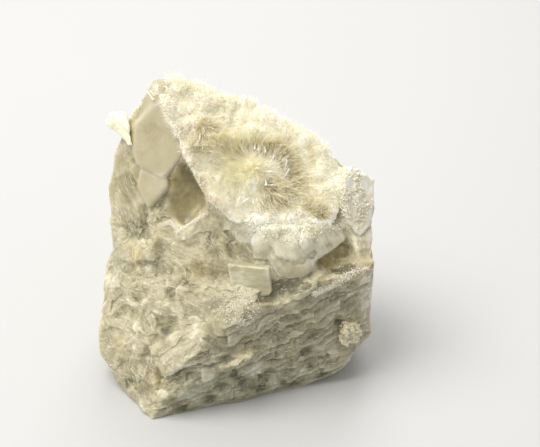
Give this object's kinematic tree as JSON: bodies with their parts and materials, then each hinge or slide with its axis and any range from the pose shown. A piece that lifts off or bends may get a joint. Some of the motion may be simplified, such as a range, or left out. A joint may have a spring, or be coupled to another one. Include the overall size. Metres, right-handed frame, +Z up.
{
  "type": "aragonite specimen",
  "caption": "Rough hand-sized mineral lump with a crust of pale needles over its sloping top and larger cloudy crystals set in its sides, resting on a flat base.",
  "frame": {"origin": "centre of the bounding box at the level of the flat base", "axes": "+Z up, -Y towards the side that shows the needle crust and the larger crystals, +X to the right of someone who looks at that side"},
  "size_m": [0.0782, 0.0644, 0.0779],
  "materials": {
    "massive_calcite": "rough, cleaved and sugary, cream on the left and grey in layers at the lower right",
    "needle_aragonite": "silky white and pale yellow needles, olive in the hollows",
    "clear_crystal": "cloudy and translucent, with smooth shining faces",
    "cream_flake": "pale yellow, waxy",
    "sugar_grains": "sparkling cream grains"
  },
  "bodies": {
    "root": {"matrix": "massive_calcite", "needle_druse": "needle_aragonite", "glassy_crystal": "clear_crystal", "milky_crystal": "clear_crystal", "cleavage_rhomb": "clear_crystal", "shoulder_crystal": "clear_crystal", "cream_blade": "cream_flake", "sugar_knob": "sugar_grains"}
  },
  "joints": []
}
